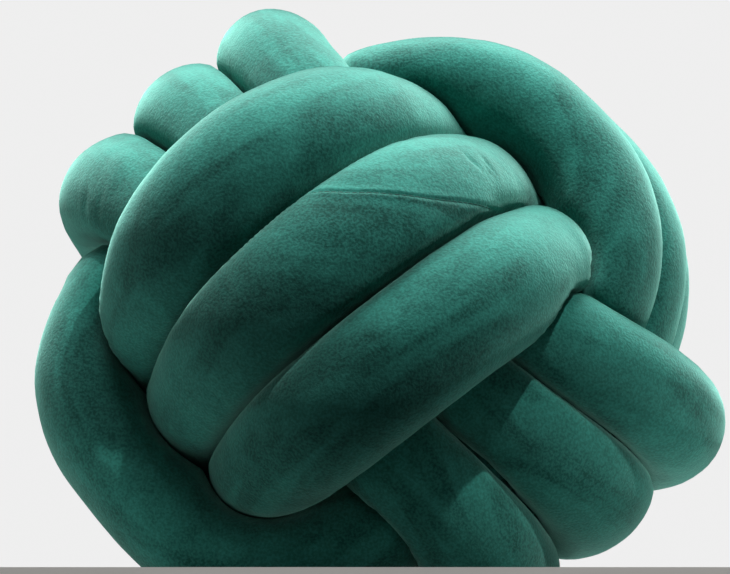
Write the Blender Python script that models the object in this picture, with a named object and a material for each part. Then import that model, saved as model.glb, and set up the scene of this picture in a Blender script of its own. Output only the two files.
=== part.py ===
"""A knot cushion: one long tube of short-pile velvet, sewn along its length, stuffed and knotted
into a ball. Three bands of three strands lock into one another, and both ends are tucked inside.

The tube is one solid. Its middle line runs through nine turns, and its sections are squeezed flat
wherever a strand presses on its neighbours or on the surface that the cushion lies on.
"""

import bpy
import numpy as np
from mathutils import Euler

MM = 0.001

# Sizes of the tube, in metres
HALF_DEPTH = 0.025  # of a section, toward the middle of the ball
SQUASH = 0.0045  # how far the lowest strands are pressed flat by the cushion's weight
CREASE = 0.0014  # the gap that is left between two strands that press on each other
END_ROUNDING = 0.020  # the length over which each tucked end closes
NEIGHBOUR = 0.072  # a strand further off than this doesn't press
SAME_STRAND = 0.100  # the tube this near along its own length is the same strand
FAR = 0.4  # stands for a way with nothing in it
EASE = 12.0  # how sharply a section turns from its free round to its pressed flat
BEND_LIMIT = 0.8  # how much of the bend's inner radius a section may fill
SWITCH = 26.0  # degrees of a turn, each side of its waist, in which it moves over to the next
WIDENING = 1.5  # how early a strand widens on its way from its waist to an end
LEVEL = 1e-3  # a ray that turns toward a neighbour less than this never meets it

# The lie of the knot: its front band climbs to the right, and its lowest band points down right
KNOT_TURN = Euler(np.radians((40.4, -3.4, -95.7)))

# The mesh: rings along the tube, and sides round it
RINGS = 385
SIDES = 15
FINER = 3  # how many times finer the squeeze is worked out, each way
LINE_STEPS = (RINGS - 1) * FINER + 1  # points of the middle line that the sections press against
BAND_POINTS = 130  # points of a band's three turns that the smooth curve goes through
CURVE_STEPS = 16  # steps of that curve between two points

AXES = dict(zip("XYZ", np.eye(3)))

# A band's long and short axis and the axis on which its strands lie side by side, the angle at
# which its first turn starts, its sense, the squareness of its near and far ends (2 is an
# ellipse), and the lean of its near end
BAND_COLUMNS = ("long", "short", "beside", "start", "sense", "near_square", "far_square",
                "near_lean")
BANDS = {
    "front": ("X", "Y", "Z", 90, 1, 2.05, 2.3, -0.05),
    "middle": ("Z", "X", "Y", -90, 1, 2.1, 2.0, 0.0),
    "ring": ("Y", "Z", "X", 90, -1, 2.4, 3.0, 0.0),
}
# The turns in the order of the tube, in mm: how far the near end, the far end and the waist
# reach, how far the strand lies beside the middle at each of them, and its half width at the
# two ends where nothing presses on it
TURN_COLUMNS = ("band", "near", "far", "waist", "near_beside", "far_beside", "waist_beside",
                "near_width", "far_width")
TURNS = (
    ("front", 110, 117, 76, 53, 47, 46, 33, 31),
    ("front", 117, 119, 81, -4, 0, 7, 35, 31),
    ("front", 114, 117, 81, -52, -47, -34, 31, 31),
    ("middle", 127, 120, 72, 55, 78, 40, 25, 26),
    ("middle", 130, 121, 72, 9, 33, 7, 28, 31),
    ("middle", 125, 123, 73, -38, -23, -31, 29, 28),
    ("ring", 134, 110, 86, -52, -47, -35, 31, 30),
    ("ring", 133, 113, 88, -16, -3, 0, 30, 30),
    ("ring", 122, 118, 82, 29, 33, 35, 31, 29),
)
# Where the tube runs through the hollow in the middle, on the axes X, Y and Z of the knot, in mm:
# its first end, the two runs from band to band, and its last end, which fills the hollow
TUCKED = (
    ((25, 11, -14), (22, 9, 16), (-7, 36, 36)),
    ((16, 43, -34), (-27, 34, -20)),
    ((-36, -34, -9), (-38, -16, 32)),
    ((32, -22, 43), (25, -16, 7), (11, -19, -32), (-18, -4, -43)),
)

VELVET = (0.020, 0.155, 0.120, 1.0)


def clear_scene():
    """Start from an empty scene."""
    for item in list(bpy.data.objects):
        bpy.data.objects.remove(item)


def unit(vectors):
    """Vectors cut to a length of 1."""
    return vectors / np.linalg.norm(vectors, axis=-1, keepdims=True)


def smooth_step(x):
    """A soft change from 0 to 1."""
    x = np.clip(x, 0.0, 1.0)
    return x * x * (3.0 - 2.0 * x)


def turn_at(turn, angle):
    """Place, sideways axis and half width of one turn at an angle, 0 being its near end."""
    turn = dict(zip(TURN_COLUMNS, turn))
    band = dict(zip(BAND_COLUMNS, BANDS[turn["band"]]))
    along, across = np.cos(angle), np.sin(angle)
    end = "near" if along > 0.0 else "far"
    power = 2.0 / band[end + "_square"]
    reach = np.sign(along) * abs(along) ** power
    side = np.sign(across) * abs(across) ** power * turn["waist"]
    beside = turn["waist_beside"] + (turn[end + "_beside"] - turn["waist_beside"]) * reach ** 2
    if end == "near":
        beside += band["near_lean"] * side
    place = reach * turn[end] * AXES[band["long"]] + side * AXES[band["short"]]
    place = place + beside * AXES[band["beside"]]
    widening = min(1.0, WIDENING * reach ** 2)
    width = HALF_DEPTH + (turn[end + "_width"] * MM - HALF_DEPTH) * widening
    return np.concatenate((place * MM, AXES[band["beside"]], (width,)))


def band_line(name):
    """The three turns of a band as one run, which moves over to the next turn at the waist."""
    turns = [turn for turn in TURNS if turn[0] == name]
    band = dict(zip(BAND_COLUMNS, BANDS[name]))
    switch = np.radians(SWITCH)
    full = 2.0 * np.pi
    run = []
    for turned in np.linspace(switch, 3.0 * full - switch, BAND_POINTS):
        angle = np.radians(band["start"]) + band["sense"] * turned
        waist = int(round(turned / full))
        share = smooth_step((turned - waist * full + switch) / (2.0 * switch))
        before = turn_at(turns[max(waist - 1, 0)], angle)
        after = turn_at(turns[min(waist, 2)], angle)
        run.append(before + (after - before) * share)
    return np.array(run)


def through(points, steps):
    """A smooth curve through points, at even steps of its length."""
    knots = np.vstack((2.0 * points[0] - points[1], points, 2.0 * points[-1] - points[-2]))
    gaps = np.sqrt(np.linalg.norm(np.diff(knots[:, :3], axis=0), axis=1))
    times = np.concatenate(((0.0,), np.cumsum(gaps)))
    pieces = []
    for i in range(1, len(knots) - 2):
        t = np.linspace(times[i], times[i + 1], CURVE_STEPS, endpoint=False)[:, None]
        p0, p1, p2, p3 = knots[i - 1:i + 3]
        t0, t1, t2, t3 = times[i - 1:i + 3]
        a = p0 + (p1 - p0) * (t - t0) / (t1 - t0)
        b = p1 + (p2 - p1) * (t - t1) / (t2 - t1)
        c = p2 + (p3 - p2) * (t - t2) / (t3 - t2)
        d = a + (b - a) * (t - t0) / (t2 - t0)
        e = b + (c - b) * (t - t1) / (t3 - t1)
        pieces.append(d + (e - d) * (t - t1) / (t2 - t1))
    curve = np.vstack(pieces + [points[-1:]])
    lengths = np.linalg.norm(np.diff(curve[:, :3], axis=0), axis=1)
    run = np.concatenate(((0.0,), np.cumsum(lengths)))
    even = np.linspace(0.0, run[-1], steps)
    return np.stack([np.interp(even, run, column) for column in curve.T], axis=1), run[-1]


def tube_line(steps):
    """The middle line of the whole tube, as rows of place, sideways axis and half width."""
    runs = [band_line(name) for name in BANDS]
    rows = []
    for i, tucked in enumerate(TUCKED):
        if i:
            rows.extend(runs[i - 1])
        beside = (runs[i] if i < len(runs) else runs[-1])[0, 3:6]
        for place in tucked:
            rows.append(np.concatenate((np.array(place) * MM, beside, (HALF_DEPTH,))))
    return through(np.array(rows), steps)


def frames(places):
    """The line's direction, bend and a pair of axes that turn as little as they can along it."""
    ahead = unit(np.gradient(places, axis=0))
    step = np.linalg.norm(places[1] - places[0])
    bend = np.gradient(ahead, axis=0) / step
    u_axes = [unit(np.cross(ahead[0], AXES["Z"]))]
    for direction in ahead[1:]:
        carried = u_axes[-1] - direction * np.dot(u_axes[-1], direction)
        u_axes.append(unit(carried))
    u_axes = np.array(u_axes)
    return ahead, bend, u_axes, np.cross(ahead, u_axes)


def section_rays(u_axis, v_axis, sides):
    """Unit vectors all round a section."""
    angles = np.linspace(0.0, 2.0 * np.pi, sides, endpoint=False)
    return np.outer(np.cos(angles), u_axis) + np.outer(np.sin(angles), v_axis)


def free_radius(rays, direction, sideways, half_width):
    """The oval that a section fills where nothing presses on it."""
    sideways = unit(sideways - direction * np.dot(sideways, direction))
    beside = rays @ sideways
    return 1.0 / np.sqrt((beside / half_width) ** 2 + (1.0 - beside ** 2) / HALF_DEPTH ** 2)


def pressed_radius(rays, centre, others, bend):
    """How far a section reaches before it meets a neighbour halfway or folds into its own bend."""
    apart = others - centre
    distance = np.linalg.norm(apart, axis=1)
    toward = rays @ apart.T
    halfway = 0.5 * distance ** 2 - 0.5 * CREASE * distance
    never = LEVEL * NEIGHBOUR
    reach = np.where(toward > never, halfway / np.maximum(toward, never), FAR)
    inner = np.maximum(rays @ bend, LEVEL)
    return np.minimum(reach.min(axis=1, initial=FAR), BEND_LIMIT / inner)


def tube_rings(rings, sides, finer):
    """Rings of points on the tube's surface. The squeeze is worked out on a finer grid,
    and each point takes the least of its surroundings, so the flat faces between stay clear too."""
    line, length = tube_line(LINE_STEPS)
    places = line[:, :3]
    ahead, bend, u_axes, v_axes = frames(places)
    step = length / (LINE_STEPS - 1)
    fine_rings = (rings - 1) * finer + 1
    picks = np.linspace(0, LINE_STEPS - 1, fine_rings).round().astype(int)
    radius = np.zeros((fine_rings, sides * finer))
    for ring, pick in enumerate(picks):
        rays = section_rays(u_axes[pick], v_axes[pick], sides * finer)
        free = free_radius(rays, ahead[pick], line[pick, 3:6], line[pick, 6])
        distance = np.linalg.norm(places - places[pick], axis=1)
        run = np.abs(np.arange(LINE_STEPS) - pick) * step
        others = places[(distance < NEIGHBOUR) & (run > SAME_STRAND)]
        pressed = pressed_radius(rays, places[pick], others, bend[pick])
        to_end = min(1.0, min(pick, LINE_STEPS - 1 - pick) * step / END_ROUNDING)
        closing = np.sqrt(1.0 - (1.0 - to_end) ** 2)
        radius[ring] = (pressed ** -EASE + free ** -EASE) ** (-1.0 / EASE) * closing
    reach = finer // 2
    shifted = [np.roll(radius, shift, axis=1) for shift in range(-reach, reach + 1)]
    radius = np.min(shifted, axis=0)
    kept = range(0, fine_rings, finer)
    least = [radius[max(0, ring - reach):ring + reach + 1].min(axis=0) for ring in kept]
    kept = picks[::finer]
    rays = [section_rays(u_axes[pick], v_axes[pick], sides) for pick in kept]
    return places[kept, None] + np.array(least)[:, ::finer, None] * np.array(rays)


def laid_down(points):
    """The knot turned as it lies, and pressed flat where it touches the surface."""
    points = points @ np.array(KNOT_TURN.to_matrix()).T
    points[..., 2] -= points[..., 2].min() + SQUASH
    points[..., 2] = np.maximum(points[..., 2], 0.0)
    flat = points[..., :2].reshape(-1, 2)
    points[..., :2] -= (flat.min(axis=0) + flat.max(axis=0)) / 2.0
    return points


def tube_mesh(name, points):
    """A closed tube through the rings, whose first and last ring are a single point each."""
    rings = points[1:-1]
    count, sides = rings.shape[:2]
    corners = [tuple(p) for p in rings.reshape(-1, 3)]
    corners += [tuple(points[0].mean(axis=0)), tuple(points[-1].mean(axis=0))]
    first_end, last_end = count * sides, count * sides + 1
    faces = []
    for side in range(sides):
        beyond = (side + 1) % sides
        faces.append((first_end, beyond, side))
        faces.append((last_end, (count - 1) * sides + side, (count - 1) * sides + beyond))
        for ring in range(count - 1):
            here, there = ring * sides, (ring + 1) * sides
            faces.append((here + side, here + beyond, there + beyond, there + side))
    mesh = bpy.data.meshes.new(name)
    mesh.from_pydata(corners, [], faces)
    mesh.validate()
    mesh.shade_smooth()
    return mesh


def velvet():
    """The short-pile velvet of the tube."""
    material = bpy.data.materials.new("velvet")
    material.use_nodes = True
    shader = material.node_tree.nodes["Principled BSDF"]
    shader.inputs["Base Color"].default_value = VELVET
    shader.inputs["Roughness"].default_value = 0.85
    shader.inputs["Metallic"].default_value = 0.0
    return material


def knotted_tube(collection):
    """The whole stuffed tube, as one solid."""
    mesh = tube_mesh("knotted_tube", laid_down(tube_rings(RINGS, SIDES, FINER)))
    mesh.materials.append(velvet())
    tube = bpy.data.objects.new("knotted_tube", mesh)
    collection.objects.link(tube)
    return tube


clear_scene()
cushion = bpy.data.collections.new("knot_cushion")
bpy.context.scene.collection.children.link(cushion)
knotted_tube(cushion)
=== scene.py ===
"""A knot cushion of green short-pile velvet: one long stuffed tube, knotted into a ball."""

import bpy
import numpy as np
from mathutils import Euler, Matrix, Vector, noise


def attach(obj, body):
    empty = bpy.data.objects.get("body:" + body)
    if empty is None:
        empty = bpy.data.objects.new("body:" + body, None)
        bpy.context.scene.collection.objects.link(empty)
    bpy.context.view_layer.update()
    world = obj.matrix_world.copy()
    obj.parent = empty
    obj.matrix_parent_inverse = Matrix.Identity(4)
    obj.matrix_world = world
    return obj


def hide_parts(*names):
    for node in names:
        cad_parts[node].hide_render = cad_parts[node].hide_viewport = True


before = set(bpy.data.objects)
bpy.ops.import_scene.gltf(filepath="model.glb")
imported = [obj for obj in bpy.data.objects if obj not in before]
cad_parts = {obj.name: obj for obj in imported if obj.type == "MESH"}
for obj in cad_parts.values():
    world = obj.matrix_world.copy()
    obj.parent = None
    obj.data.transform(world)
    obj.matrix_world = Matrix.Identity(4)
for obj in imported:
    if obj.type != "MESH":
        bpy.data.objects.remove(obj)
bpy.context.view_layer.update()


# ---------------------------------------------------------------------------------------------
# The lie of the tube. The maker winds one long tube round nine times: three turns side by side
# make a band, and each band goes round the one before. Both ends are tucked into the middle.
# ---------------------------------------------------------------------------------------------

MM = 0.001
KNOT_TURN = Euler(np.radians((40.4, -3.4, -95.7)))  # how the knot lies on the shelf
KNOT_MIDDLE = np.array((-0.0092, -0.0015, 0.1315))  # its middle, over the shelf
HALF_DEPTH = 25  # mm, of the tube toward the middle of the ball
SWITCH = 26.0  # degrees each side of a waist in which the tube moves over to the next turn
WIDENING = 1.5  # how early a strand widens on its way from its waist to an end
BAND_POINTS = 130  # of a band's three turns, that the smooth curve goes through
CURVE_STEPS = 16  # of that curve, between two points
AXES = dict(zip("XYZ", np.eye(3)))

# A band's long and short axis and the axis on which its strands lie side by side, the angle at
# which its first turn starts, its sense, the squareness of its near and far ends (2 is an
# ellipse), and the lean of its near end
BAND_COLUMNS = ("long", "short", "beside", "start", "sense", "near_square", "far_square",
                "near_lean")
BANDS = {
    "front": ("X", "Y", "Z", 90, 1, 2.05, 2.3, -0.05),
    "middle": ("Z", "X", "Y", -90, 1, 2.1, 2.0, 0.0),
    "ring": ("Y", "Z", "X", 90, -1, 2.4, 3.0, 0.0),
}
# The turns in the order of the tube, in mm: how far the near end, the far end and the waist
# reach, how far the strand lies beside the middle at each of them, and its half width at the
# two ends where nothing presses on it. Most of these sizes, KNOT_TURN and the camera's lens and
# place began as a scratch optimiser's fit to the strands' outlines, and were then rounded.
TURN_COLUMNS = ("band", "near", "far", "waist", "near_beside", "far_beside", "waist_beside",
                "near_width", "far_width")
TURNS = (
    ("front", 110, 117, 76, 53, 47, 46, 33, 31),
    ("front", 117, 119, 81, -4, 0, 7, 35, 31),
    ("front", 114, 117, 81, -52, -47, -34, 31, 31),
    ("middle", 127, 120, 72, 55, 78, 40, 25, 26),
    ("middle", 130, 121, 72, 9, 33, 7, 28, 31),
    ("middle", 125, 123, 73, -38, -23, -31, 29, 28),
    ("ring", 134, 110, 86, -52, -47, -35, 31, 30),
    ("ring", 133, 113, 88, -16, -3, 0, 30, 30),
    ("ring", 122, 118, 82, 29, 33, 35, 31, 29),
)
# Where the tube runs through the hollow in the middle, in mm
TUCKED = (
    ((25, 11, -14), (22, 9, 16), (-7, 36, 36)),
    ((16, 43, -34), (-27, 34, -20)),
    ((-36, -34, -9), (-38, -16, 32)),
    ((32, -22, 43), (25, -16, 7), (11, -19, -32), (-18, -4, -43)),
)


def unit(vectors):
    return vectors / np.linalg.norm(vectors, axis=-1, keepdims=True)


def smooth_step(x):
    x = np.clip(x, 0.0, 1.0)
    return x * x * (3.0 - 2.0 * x)


def turn_at(turn, angle):
    """Place, sideways axis and half width of one turn at an angle, 0 being its near end."""
    turn = dict(zip(TURN_COLUMNS, turn))
    band = dict(zip(BAND_COLUMNS, BANDS[turn["band"]]))
    along, across = np.cos(angle), np.sin(angle)
    end = "near" if along > 0.0 else "far"
    power = 2.0 / band[end + "_square"]
    reach = np.sign(along) * abs(along) ** power
    side = np.sign(across) * abs(across) ** power * turn["waist"]
    beside = turn["waist_beside"] + (turn[end + "_beside"] - turn["waist_beside"]) * reach ** 2
    if end == "near":
        beside += band["near_lean"] * side
    place = reach * turn[end] * AXES[band["long"]] + side * AXES[band["short"]]
    place = place + beside * AXES[band["beside"]]
    width = HALF_DEPTH + (turn[end + "_width"] - HALF_DEPTH) * min(1.0, WIDENING * reach ** 2)
    return np.concatenate((place * MM, AXES[band["beside"]], (width * MM,)))


def band_line(name):
    """The three turns of a band as one run, which moves over to the next turn at the waist."""
    turns = [turn for turn in TURNS if turn[0] == name]
    band = dict(zip(BAND_COLUMNS, BANDS[name]))
    switch = np.radians(SWITCH)
    full = 2.0 * np.pi
    run = []
    for turned in np.linspace(switch, 3.0 * full - switch, BAND_POINTS):
        angle = np.radians(band["start"]) + band["sense"] * turned
        waist = int(round(turned / full))
        share = smooth_step((turned - waist * full + switch) / (2.0 * switch))
        before = turn_at(turns[max(waist - 1, 0)], angle)
        after = turn_at(turns[min(waist, 2)], angle)
        run.append(before + (after - before) * share)
    return np.array(run)


def through(points):
    """A smooth curve through points, and how far along it each of its own points lies."""
    knots = np.vstack((2.0 * points[0] - points[1], points, 2.0 * points[-1] - points[-2]))
    gaps = np.sqrt(np.linalg.norm(np.diff(knots[:, :3], axis=0), axis=1))
    times = np.concatenate(((0.0,), np.cumsum(gaps)))
    pieces = []
    for i in range(1, len(knots) - 2):
        t = np.linspace(times[i], times[i + 1], CURVE_STEPS, endpoint=False)[:, None]
        p0, p1, p2, p3 = knots[i - 1:i + 3]
        t0, t1, t2, t3 = times[i - 1:i + 3]
        a = p0 + (p1 - p0) * (t - t0) / (t1 - t0)
        b = p1 + (p2 - p1) * (t - t1) / (t2 - t1)
        c = p2 + (p3 - p2) * (t - t2) / (t3 - t2)
        d = a + (b - a) * (t - t0) / (t2 - t0)
        e = b + (c - b) * (t - t1) / (t3 - t1)
        pieces.append(d + (e - d) * (t - t1) / (t2 - t1))
    curve = np.vstack(pieces + [points[-1:]])
    lengths = np.linalg.norm(np.diff(curve[:, :3], axis=0), axis=1)
    return curve, np.concatenate(((0.0,), np.cumsum(lengths)))


def at(curve, run, lengths):
    """The rows of a curve at some lengths along it."""
    return np.stack([np.interp(lengths, run, column) for column in curve.T], axis=1)


def tube_line():
    """The middle line of the whole tube: place, sideways axis and half width."""
    runs = [band_line(name) for name in BANDS]
    rows = []
    for i, tucked in enumerate(TUCKED):
        if i:
            rows.extend(runs[i - 1])
        beside = (runs[i] if i < len(runs) else runs[-1])[0, 3:6]
        for place in tucked:
            rows.append(np.concatenate((np.array(place) * MM, beside, (HALF_DEPTH * MM,))))
    return through(np.array(rows))


line, line_run = tube_line()
tube_length = line_run[-1]


# ---------------------------------------------------------------------------------------------
# The stuffed velvet tube. A strip of short-pile velvet is sewn to a tube from the wrong side,
# turned, stuffed tight with polyester fibre, knotted, and its two ends are sewn shut inside.
# ---------------------------------------------------------------------------------------------

CREASE = 0.0008  # m, left between two strands that press on each other
EASE = 14.0  # how sharply a section turns from its free round to its pressed flat
BEND_LIMIT = 0.8  # how much of a bend's inner radius a section may fill
END_ROUNDING = 0.020  # m, over which each tucked end closes
NEIGHBOUR = 0.072  # m, beyond which a strand doesn't press
SAME_STRAND = 0.100  # m along the tube, within which it is the same strand
FAR = 0.4  # m, stands for a way with nothing in it
LEVEL = 1e-3  # a ray that turns toward a neighbour less than this never meets it
RING_STEP = 0.0038  # m, from ring to ring of the mesh
FINE_STEP, FINE_BESIDE = 0.0009, 0.005  # m, the rings at a fold, and how far they go past it
SEAM_OPEN = (1.155, 1.295)  # m along the tube, where the seam leaves the inner side and is fine
PRESS_STEP = 0.006  # m, between the points of the line that a section presses against
INWARD_RINGS, SEAM_RINGS = 41, 31  # rings over which the inner side and the seam are evened out
SIDES = 46
SEAM_SIDES = (0.0007, 0.0015, 0.0026)  # m, from the seam to the extra edges each side of it
SEAM_DEPTH, SEAM_WIDTH = 0.0005, 0.0008
SEAM_LIP, SEAM_LIP_AT, SEAM_LIP_WIDTH = 0.0002, 0.0022, 0.0012
FOLD_NEAR = 0.05  # m along the tube, beyond which a fold doesn't show
FOLD_ENDS, FOLD_TIP = 0.35, 0.02  # of a fold's depth at its ends, and of its length cut off there
LUMP, LUMP_SIZE = 0.0009, 0.035  # m, the unevenness of the stuffing
WOBBLE, WOBBLE_SIZE = 0.0003, 0.011
NAP_DARK, NAP_PALE = (0.004, 0.070, 0.056, 1.0), (0.046, 0.330, 0.270, 1.0)
STROKES = (34.0, 11.0, 1.0)  # brushed patches to a metre, round the tube and along it
NAP_CHANGE, NAP_FADE = 0.26, 0.030  # how much the nap turns at the seam, and m to where it ends
PRESSED_BELOW = 0.002  # m, how far under its free round a section lies where it's pressed

# Where the seam runs: metres along the tube, and degrees round it from its inner side. It lies on
# the inner side of every turn, but winds once round the second strand of the front band.
SEAM_PATH = ((0.0, 0), (1.150, 0), (1.193, 130), (1.209, 180), (1.220, 206), (1.240, 230),
             (1.256, 242), (1.300, 360), (7.0, 360))
# Small folds of the velvet: from where to where, along and round the tube as the seam, and mm
FOLD_COLUMNS = ("along", "round", "to_along", "to_round", "depth", "width")
FOLDS = (
    (1.2475, 174, 1.2473, 191, 1.0, 1.1),
    (1.2558, 183, 1.2548, 196, 1.0, 1.1),
    (1.2548, 196, 1.2490, 205, 0.9, 1.1),
    (1.1470, 145, 1.1440, 158, 0.9, 1.2),
    (2.2605, 158, 2.2535, 112, 0.9, 1.6),
    (3.5590, 205, 3.5640, 222, 1.0, 1.6),
    (3.5690, 198, 3.5730, 214, 0.8, 1.5),
    (5.9500, 218, 5.9180, 242, 0.8, 1.5),
    (5.9270, 296, 5.9230, 312, 1.2, 1.6),
)
folds = [dict(zip(FOLD_COLUMNS, fold)) for fold in FOLDS]

# The rings lie closer together along the open seam and at each fold that isn't on it
rings_at = np.linspace(0.0, tube_length, int(tube_length / RING_STEP) + 1)
for first, last in [SEAM_OPEN] + [(fold["along"], fold["to_along"]) for fold in folds]:
    first, last = min(first, last) - FINE_BESIDE, max(first, last) + FINE_BESIDE
    if not SEAM_OPEN[0] < first < SEAM_OPEN[1]:
        finer = np.arange(first, last, FINE_STEP)
        rings_at = np.concatenate((rings_at[rings_at < first - FINE_STEP], finer,
                                   rings_at[rings_at > last + FINE_STEP]))
rows = at(line, line_run, rings_at)
places, sideways, half_widths = rows[:, :3], rows[:, 3:6], rows[:, 6]
ahead = unit(np.gradient(places, rings_at, axis=0))
bend = np.gradient(ahead, rings_at, axis=0)
u_axes = [unit(np.cross(ahead[0], AXES["Z"]))]
for direction in ahead[1:]:
    u_axes.append(unit(u_axes[-1] - direction * np.dot(u_axes[-1], direction)))
u_axes = np.array(u_axes)
v_axes = np.cross(ahead, u_axes)


def evened(values, rings):
    """Values ring by ring, each the smooth mean of those round it."""
    window = np.hanning(rings) / np.hanning(rings).sum()
    return np.convolve(np.pad(values, rings // 2, mode="edge"), window, mode="valid")


inward = np.unwrap(np.arctan2(-(places * v_axes).sum(axis=1), -(places * u_axes).sum(axis=1)))
inward = evened(inward, INWARD_RINGS)
seam_turn = evened(np.radians(np.interp(rings_at, *zip(*SEAM_PATH))), SEAM_RINGS)
seam_angle = inward + seam_turn

press_run = np.arange(0.0, tube_length, PRESS_STEP)
press_at = at(line, line_run, press_run)[:, :3]
even = np.linspace(0.0, 2.0 * np.pi, SIDES - 1)[1:-1]
near_seam = np.array(SEAM_SIDES) / (HALF_DEPTH * MM)
angles = np.concatenate(((0.0,), near_seam, even, 2.0 * np.pi - near_seam[::-1]))
from_seam = np.minimum(angles, 2.0 * np.pi - angles) * HALF_DEPTH * MM
seam_dip = -SEAM_DEPTH * np.exp(-(from_seam / SEAM_WIDTH) ** 2)
seam_dip += SEAM_LIP * np.exp(-((from_seam - SEAM_LIP_AT) / SEAM_LIP_WIDTH) ** 2)


def fold_dip(fold, along, turned):
    """How deep a fold dips at places along and round the tube."""
    start = np.array((fold["along"], np.radians(fold["round"]) * HALF_DEPTH * MM))
    end = np.array((fold["to_along"], np.radians(fold["to_round"]) * HALF_DEPTH * MM))
    run = end - start
    place = np.stack((np.full(turned.shape, along), turned * HALF_DEPTH * MM), axis=-1) - start
    share = np.clip(place @ run / (run @ run), 0.0, 1.0)
    off = np.linalg.norm(place - share[:, None] * run, axis=1)
    swell = np.sin(np.pi * np.clip(share, FOLD_TIP, 1.0 - FOLD_TIP))
    taper = FOLD_ENDS + (1.0 - FOLD_ENDS) * swell
    return fold["depth"] * MM * taper * np.exp(-(off / (fold["width"] * MM)) ** 2)


radius = np.zeros((len(rings_at), len(angles)))
rays = np.zeros((len(rings_at), len(angles), 3))
free_share = np.zeros(radius.shape)
for ring, length in enumerate(rings_at):
    turned = angles + seam_angle[ring]
    ray = np.outer(np.cos(turned), u_axes[ring]) + np.outer(np.sin(turned), v_axes[ring])
    beside = sideways[ring] - ahead[ring] * np.dot(sideways[ring], ahead[ring])
    beside = ray @ unit(beside)
    free = 1.0 / np.sqrt((beside / half_widths[ring]) ** 2
                         + (1.0 - beside ** 2) / (HALF_DEPTH * MM) ** 2)
    apart = press_at - places[ring]
    distance = np.linalg.norm(apart, axis=1)
    pressing = (distance < NEIGHBOUR) & (np.abs(press_run - length) > SAME_STRAND)
    apart, distance = apart[pressing], distance[pressing]
    toward = ray @ apart.T
    halfway = 0.5 * distance ** 2 - 0.5 * CREASE * distance
    least = LEVEL * NEIGHBOUR
    reach = np.where(toward > least, halfway / np.maximum(toward, least), FAR)
    inner = np.maximum(ray @ bend[ring], LEVEL)
    pressed = np.minimum(reach.min(axis=1, initial=FAR), BEND_LIMIT / inner)
    to_end = min(1.0, min(length, tube_length - length) / END_ROUNDING)
    closing = np.sqrt(1.0 - (1.0 - to_end) ** 2)
    radius[ring] = (pressed ** -EASE + free ** -EASE) ** (-1.0 / EASE)
    free_share[ring] = smooth_step((pressed - radius[ring]) / PRESSED_BELOW)
    dip = seam_dip.copy()
    for fold in folds:
        if abs(length - fold["along"]) < FOLD_NEAR:
            dip -= fold_dip(fold, length, (angles + seam_turn[ring]) % (2.0 * np.pi))
    radius[ring] = (radius[ring] + dip * free_share[ring]) * closing
    rays[ring] = ray

points = places[:, None] + radius[..., None] * rays
for size, depth in ((LUMP_SIZE, LUMP), (WOBBLE_SIZE, WOBBLE)):
    for ring in range(len(points)):
        for side in range(len(angles)):
            lump = noise.noise(Vector(points[ring, side] / size)) * depth
            points[ring, side] += rays[ring, side] * lump * free_share[ring, side]
points = points @ np.array(KNOT_TURN.to_matrix()).T + KNOT_MIDDLE
points[..., 2] = np.maximum(points[..., 2], 0.0)


def tube_mesh(name, points):
    """A closed tube through the rings, whose first and last ring are a single point each, with
    its strip of velvet as the UV map: metres from the seam round the tube, and along it."""
    rings = points[1:-1]
    count, sides = rings.shape[:2]
    corners = np.vstack((rings.reshape(-1, 3), points[:1].mean(axis=1), points[-1:].mean(axis=1)))
    first_end, last_end = count * sides, count * sides + 1
    faces, around, along = [], [], []
    for side in range(sides):
        beyond = (side + 1) % sides
        faces.append((first_end, beyond, side))
        around += [side, side + 1, side]
        along += [0, 1, 1]
        faces.append((last_end, (count - 1) * sides + side, (count - 1) * sides + beyond))
        around += [side, side, side + 1]
        along += [count + 1, count, count]
        for ring in range(count - 1):
            here, there = ring * sides, (ring + 1) * sides
            faces.append((here + side, here + beyond, there + beyond, there + side))
            around += [side, side + 1, side + 1, side]
            along += [ring + 1, ring + 1, ring + 2, ring + 2]
    mesh = bpy.data.meshes.new(name)
    mesh.from_pydata(corners.tolist(), [], faces)
    wrapped = np.append(angles, 2.0 * np.pi) * HALF_DEPTH * MM
    strip = np.stack((wrapped[around], rings_at[along]), axis=1)
    mesh.uv_layers.new(name="strip").data.foreach_set("uv", strip.ravel())
    mesh.shade_smooth()
    return mesh


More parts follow.
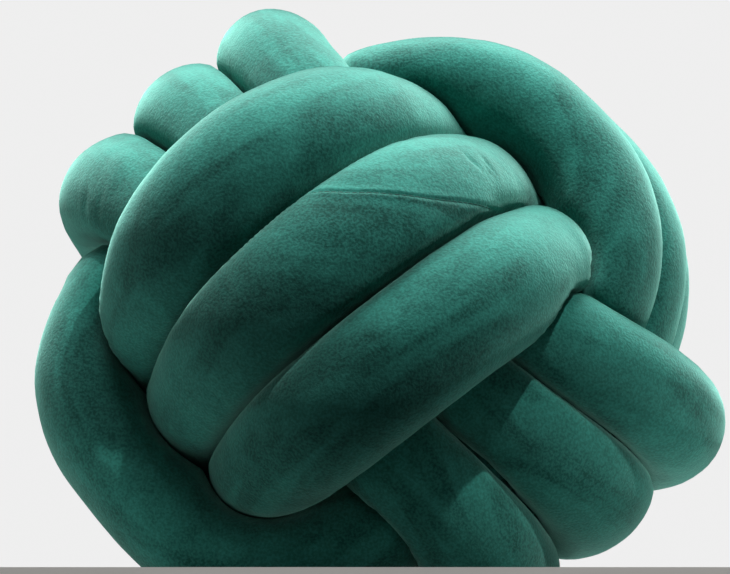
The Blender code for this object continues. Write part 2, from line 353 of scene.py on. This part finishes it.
def velvet():
    """Green short-pile velvet: pale where the pile is seen from its side, with the soft patches
    that hands leave in the nap, a fine uneven grain, and a nap that changes at the seam."""
    material = bpy.data.materials.new("velvet")
    material.use_nodes = True
    nodes, links = material.node_tree.nodes, material.node_tree.links
    shader = nodes["Principled BSDF"]
    shader.inputs["Roughness"].default_value = 0.9
    shader.inputs["Specular IOR Level"].default_value = 0.12
    shader.inputs["Sheen Weight"].default_value = 0.9
    shader.inputs["Sheen Roughness"].default_value = 0.48
    shader.inputs["Sheen Tint"].default_value = (0.44, 1.0, 0.86, 1.0)

    def noise_of(label, scale, detail, distortion=0.0, on=None):
        node = nodes.new("ShaderNodeTexNoise")
        node.label = label
        node.inputs["Scale"].default_value = scale
        node.inputs["Detail"].default_value = detail
        node.inputs["Distortion"].default_value = distortion
        links.new(on or place.outputs["Object"], node.inputs["Vector"])
        return node.outputs["Fac"]

    def maths(label, operation, *values):
        node = nodes.new("ShaderNodeMath")
        node.label = label
        node.operation = operation
        for socket, value in zip(node.inputs, values):
            if isinstance(value, float):
                socket.default_value = value
            else:
                links.new(value, socket)
        return node.outputs["Value"]

    def spread(label, value, low, high, to_low, to_high):
        node = nodes.new("ShaderNodeMapRange")
        node.label = label
        node.interpolation_type = "SMOOTHSTEP"
        for name, number in (("From Min", low), ("From Max", high),
                             ("To Min", to_low), ("To Max", to_high)):
            node.inputs[name].default_value = number
        links.new(value, node.inputs["Value"])
        return node.outputs["Result"]

    place = nodes.new("ShaderNodeTexCoord")
    strip = nodes.new("ShaderNodeUVMap")
    strip.uv_map = "strip"
    stroked = nodes.new("ShaderNodeMapping")
    stroked.label = "strokes run along the tube"
    stroked.inputs["Scale"].default_value = STROKES
    links.new(strip.outputs["UV"], stroked.inputs["Vector"])
    brushed = noise_of("brushed patches", 1.0, 3.0, 1.2, stroked.outputs["Vector"])
    brushed = spread("brushed patches", brushed, 0.42, 0.58, -0.18, 0.18)
    clouds = spread("clouds of the nap", noise_of("clouds of the nap", 75.0, 4.0, 0.9),
                    0.30, 0.70, -0.10, 0.10)
    grain = noise_of("grain of the pile", 850.0, 2.0)
    speckle = spread("grain of the pile", grain, 0.32, 0.68, -0.20, 0.20)

    sides = nodes.new("ShaderNodeSeparateXYZ")
    links.new(strip.outputs["UV"], sides.inputs["Vector"])
    under = spread("nap turned dark under the seam", sides.outputs["X"],
                   0.0, NAP_FADE, -NAP_CHANGE, 0.0)
    over = spread("nap turned pale over the seam", sides.outputs["X"],
                  2.0 * np.pi * HALF_DEPTH * MM - NAP_FADE, 2.0 * np.pi * HALF_DEPTH * MM,
                  0.0, NAP_CHANGE)
    tone = maths("tone", "ADD", maths("tone", "ADD", brushed, clouds), speckle)
    tone = maths("tone", "ADD", tone, maths("nap at the seam", "ADD", under, over))
    tone = maths("tone", "ADD", tone, 0.5)
    colour = nodes.new("ShaderNodeValToRGB")
    colour.label = "nap colours"
    colour.color_ramp.elements[0].color = NAP_DARK
    colour.color_ramp.elements[1].color = NAP_PALE
    links.new(tone, colour.inputs["Fac"])
    links.new(colour.outputs["Color"], shader.inputs["Base Color"])

    lean = nodes.new("ShaderNodeBump")
    lean.label = "pile that leans this way and that"
    lean.inputs["Strength"].default_value = 0.18
    lean.inputs["Distance"].default_value = 0.0012
    links.new(noise_of("pile that leans", 210.0, 4.0, 0.5), lean.inputs["Height"])
    fine = nodes.new("ShaderNodeBump")
    fine.label = "grain of the pile"
    fine.inputs["Strength"].default_value = 0.45
    fine.inputs["Distance"].default_value = 0.0005
    links.new(grain, fine.inputs["Height"])
    links.new(lean.outputs["Normal"], fine.inputs["Normal"])
    links.new(fine.outputs["Normal"], shader.inputs["Normal"])
    return material


tube = bpy.data.objects.new("stuffed_tube", tube_mesh("stuffed_tube", points))
bpy.context.scene.collection.objects.link(tube)
tube.data.materials.append(velvet())
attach(tube, "root")
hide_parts("knotted_tube")


# ---------------------------------------------------------------------------------------------
# The stitches of the seam, in green polyester thread. The maker sews them with the velvet inside
# out, and they show in the bottom of the groove where the seam lies open on the second strand.
# ---------------------------------------------------------------------------------------------

STITCH_PITCH, STITCH_LENGTH, THREAD, STITCH_SIZES, STITCH_SEED = 0.0030, 0.0026, 0.0005, 0.08, 7
STITCHES_LIFT = 0.00005  # m, of the thread's middle over the bottom of the groove
FREE_ENOUGH = 0.6  # share of its free round above which the tube is open, and shows its stitches


def thread_material():
    """Green thread a little darker than the velvet, with a fine change along its twist."""
    material = bpy.data.materials.new("green thread")
    material.use_nodes = True
    shader = material.node_tree.nodes["Principled BSDF"]
    shader.inputs["Roughness"].default_value = 0.6
    shader.inputs["Sheen Weight"].default_value = 0.3
    twist = material.node_tree.nodes.new("ShaderNodeTexNoise")
    twist.inputs["Scale"].default_value = 1800.0
    place = material.node_tree.nodes.new("ShaderNodeTexCoord")
    material.node_tree.links.new(place.outputs["Object"], twist.inputs["Vector"])
    colour = material.node_tree.nodes.new("ShaderNodeValToRGB")
    colour.color_ramp.elements[0].color = (0.006, 0.075, 0.060, 1.0)
    colour.color_ramp.elements[1].color = (0.030, 0.210, 0.170, 1.0)
    material.node_tree.links.new(twist.outputs["Fac"], colour.inputs["Fac"])
    material.node_tree.links.new(colour.outputs["Color"], shader.inputs["Base Color"])
    return material


def stitch_nodes():
    """Stitches at even steps along a curve, each a short rounded length of thread."""
    group = bpy.data.node_groups.new("stitches along a seam", "GeometryNodeTree")
    face = group.interface
    face.new_socket("Seam", in_out="INPUT", socket_type="NodeSocketGeometry")
    for name in ("Pitch", "Stitch length", "Thread", "Uneven sizes"):
        face.new_socket(name, in_out="INPUT", socket_type="NodeSocketFloat")
    face.new_socket("Seed", in_out="INPUT", socket_type="NodeSocketInt")
    face.new_socket("Material", in_out="INPUT", socket_type="NodeSocketMaterial")
    face.new_socket("Stitches", in_out="OUTPUT", socket_type="NodeSocketGeometry")
    nodes, links = group.nodes, group.links
    given = nodes.new("NodeGroupInput").outputs
    steps = nodes.new("GeometryNodeCurveToPoints")
    steps.mode = "LENGTH"
    links.new(given["Seam"], steps.inputs["Curve"])
    links.new(given["Pitch"], steps.inputs["Length"])
    along = nodes.new("FunctionNodeAlignRotationToVector")
    along.axis = "X"
    links.new(steps.outputs["Tangent"], along.inputs["Vector"])
    grain = nodes.new("GeometryNodeMeshIcoSphere")
    grain.inputs["Radius"].default_value = 0.5
    grain.inputs["Subdivisions"].default_value = 3
    size = nodes.new("ShaderNodeCombineXYZ")
    links.new(given["Stitch length"], size.inputs["X"])
    links.new(given["Thread"], size.inputs["Y"])
    links.new(given["Thread"], size.inputs["Z"])
    least = nodes.new("ShaderNodeMath")
    least.operation = "SUBTRACT"
    least.inputs[0].default_value = 1.0
    links.new(given["Uneven sizes"], least.inputs[1])
    uneven = nodes.new("FunctionNodeRandomValue")
    links.new(least.outputs["Value"], uneven.inputs["Min"])
    links.new(given["Seed"], uneven.inputs["Seed"])
    scaled = nodes.new("ShaderNodeVectorMath")
    scaled.operation = "SCALE"
    links.new(size.outputs["Vector"], scaled.inputs[0])
    links.new(uneven.outputs["Value"], scaled.inputs["Scale"])
    placed = nodes.new("GeometryNodeInstanceOnPoints")
    links.new(steps.outputs["Points"], placed.inputs["Points"])
    links.new(grain.outputs["Mesh"], placed.inputs["Instance"])
    links.new(along.outputs["Rotation"], placed.inputs["Rotation"])
    links.new(scaled.outputs["Vector"], placed.inputs["Scale"])
    real = nodes.new("GeometryNodeRealizeInstances")
    links.new(placed.outputs["Instances"], real.inputs["Geometry"])
    dyed = nodes.new("GeometryNodeSetMaterial")
    links.new(real.outputs["Geometry"], dyed.inputs["Geometry"])
    links.new(given["Material"], dyed.inputs["Material"])
    links.new(dyed.outputs["Geometry"], nodes.new("NodeGroupOutput").inputs["Stitches"])
    return group


def seam_stitches():
    """The stitches as one plain mesh, where the seam is on the outer side and nothing presses."""
    outer_half = (seam_turn > 0.5 * np.pi) & (seam_turn < 1.5 * np.pi)
    open_seam = (free_share[:, 0] > FREE_ENOUGH) & outer_half
    out = rays[open_seam, 0] @ np.array(KNOT_TURN.to_matrix()).T
    path = points[open_seam, 0] + out * STITCHES_LIFT
    curve = bpy.data.curves.new("seam path", "CURVE")
    curve.dimensions = "3D"
    spline = curve.splines.new("POLY")
    spline.points.add(len(path) - 1)
    spline.points.foreach_set("co", np.column_stack((path, np.ones(len(path)))).ravel())
    holder = bpy.data.objects.new("seam path", curve)
    bpy.context.scene.collection.objects.link(holder)
    modifier = holder.modifiers.new("stitches", "NODES")
    modifier.node_group = stitch_nodes()
    values = {"Pitch": STITCH_PITCH, "Stitch length": STITCH_LENGTH, "Thread": THREAD,
              "Uneven sizes": STITCH_SIZES, "Seed": STITCH_SEED, "Material": thread_material()}
    for socket in modifier.node_group.interface.items_tree:
        if socket.name in values:
            modifier[socket.identifier] = values[socket.name]
    seen = holder.evaluated_get(bpy.context.evaluated_depsgraph_get())
    mesh = bpy.data.meshes.new_from_object(seen)
    bpy.data.objects.remove(holder)
    mesh.shade_smooth()
    stitches = bpy.data.objects.new("seam_stitches", mesh)
    bpy.context.scene.collection.objects.link(stitches)
    return stitches


stitches = seam_stitches()
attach(stitches, "root")


# ---------------------------------------------------------------------------------------------
# The shelf that the cushion lies on, plain and pale. Its front edge is just before the cushion,
# and the picture is taken from a little below it, so the edge covers the cushion's lowest part.
# ---------------------------------------------------------------------------------------------

SHELF_FRONT, SHELF_BACK, SHELF_SIDE, SHELF_THICK = -0.1325, 2.5, 2.5, 0.04


def plain(name, colour, roughness):
    material = bpy.data.materials.new(name)
    material.use_nodes = True
    shader = material.node_tree.nodes["Principled BSDF"]
    shader.inputs["Base Color"].default_value = colour
    shader.inputs["Roughness"].default_value = roughness
    return material


corners = [(x, y, z) for z in (-SHELF_THICK, 0.0) for y in (SHELF_FRONT, SHELF_BACK)
           for x in (-SHELF_SIDE, SHELF_SIDE)]
sides = [(0, 2, 3, 1), (4, 5, 7, 6), (0, 1, 5, 4), (2, 6, 7, 3), (0, 4, 6, 2), (1, 3, 7, 5)]
PAINTED_LIGHT_FACE = 2
shelf_mesh = bpy.data.meshes.new("shelf")
shelf_mesh.from_pydata(corners, [], sides)
shelf = bpy.data.objects.new("shelf", shelf_mesh)
# The top and the front edge are one pale paint. The upright front edge is painted far lighter
# than the top: painted light, standing in for the light that the lamps hardly give it.
shelf_mesh.materials.append(plain("pale paint", (0.42, 0.41, 0.40, 1.0), 0.7))
shelf_mesh.materials.append(plain("front edge painted lighter", (0.90, 0.88, 0.85, 1.0), 0.7))
shelf_mesh.polygons[PAINTED_LIGHT_FACE].material_index = 1
bpy.context.scene.collection.objects.link(shelf)


# ---------------------------------------------------------------------------------------------
# Light and camera: wide soft light from over the cushion, a small hard light from the upper
# right in front, and a dim room all round.
# ---------------------------------------------------------------------------------------------

LAMPS_AIM = Vector((0.0, 0.0, 0.14))  # the middle of the cushion


def lamp(name, size, power, place, colour):
    light = bpy.data.lights.new(name, "AREA")
    light.shape = "DISK"
    light.size = size
    light.energy = power
    light.color = colour
    holder = bpy.data.objects.new(name, light)
    holder.location = place
    holder.rotation_euler = (LAMPS_AIM - Vector(place)).to_track_quat("-Z", "Y").to_euler()
    bpy.context.scene.collection.objects.link(holder)


lamp("skylight", 1.4, 63.0, (0.05, 0.5, 1.9), (1.0, 1.0, 1.0))
lamp("ceiling", 1.0, 27.0, (-0.15, -0.3, 1.9), (1.0, 1.0, 1.0))
lamp("window", 0.06, 21.0, (0.78, -1.46, 1.83), (1.0, 1.0, 0.98))

# The room is pale where the camera sees it. As light it is dim, and dimmer from below.
ROOM_SEEN, ROOM_ABOVE, ROOM_BELOW = 0.86, 0.10, 0.015
world = bpy.data.worlds.new("pale room")
bpy.context.scene.world = world
world.use_nodes = True
room, links = world.node_tree.nodes["Background"], world.node_tree.links
room.inputs["Color"].default_value = (1.0, 1.0, 1.0, 1.0)
way = world.node_tree.nodes.new("ShaderNodeTexCoord")
height = world.node_tree.nodes.new("ShaderNodeSeparateXYZ")
links.new(way.outputs["Generated"], height.inputs["Vector"])
dimmed = world.node_tree.nodes.new("ShaderNodeMapRange")
dimmed.inputs["From Min"].default_value = -0.5
dimmed.inputs["From Max"].default_value = 1.0
dimmed.inputs["To Min"].default_value = ROOM_BELOW
dimmed.inputs["To Max"].default_value = ROOM_ABOVE
links.new(height.outputs["Z"], dimmed.inputs["Value"])
ray = world.node_tree.nodes.new("ShaderNodeLightPath")
shown = world.node_tree.nodes.new("ShaderNodeMix")
links.new(ray.outputs["Is Camera Ray"], shown.inputs["Factor"])
links.new(dimmed.outputs["Result"], shown.inputs["A"])
shown.inputs["B"].default_value = ROOM_SEEN
links.new(shown.outputs["Result"], room.inputs["Strength"])

LENS = 216.6  # mm
TILT_UP = np.radians(16.0)
camera = bpy.data.objects.new("camera", bpy.data.cameras.new("camera"))
camera.data.lens = LENS
camera.data.sensor_width = 36.0
camera.location = (-0.0068, -1.9031, -0.3877)
camera.rotation_euler = (np.radians(90.0) + TILT_UP, 0.0, 0.0)
camera.data.clip_start, camera.data.clip_end = 0.1, 20.0
bpy.context.scene.collection.objects.link(camera)
bpy.context.scene.camera = camera
bpy.context.scene.view_settings.view_transform = "Standard"
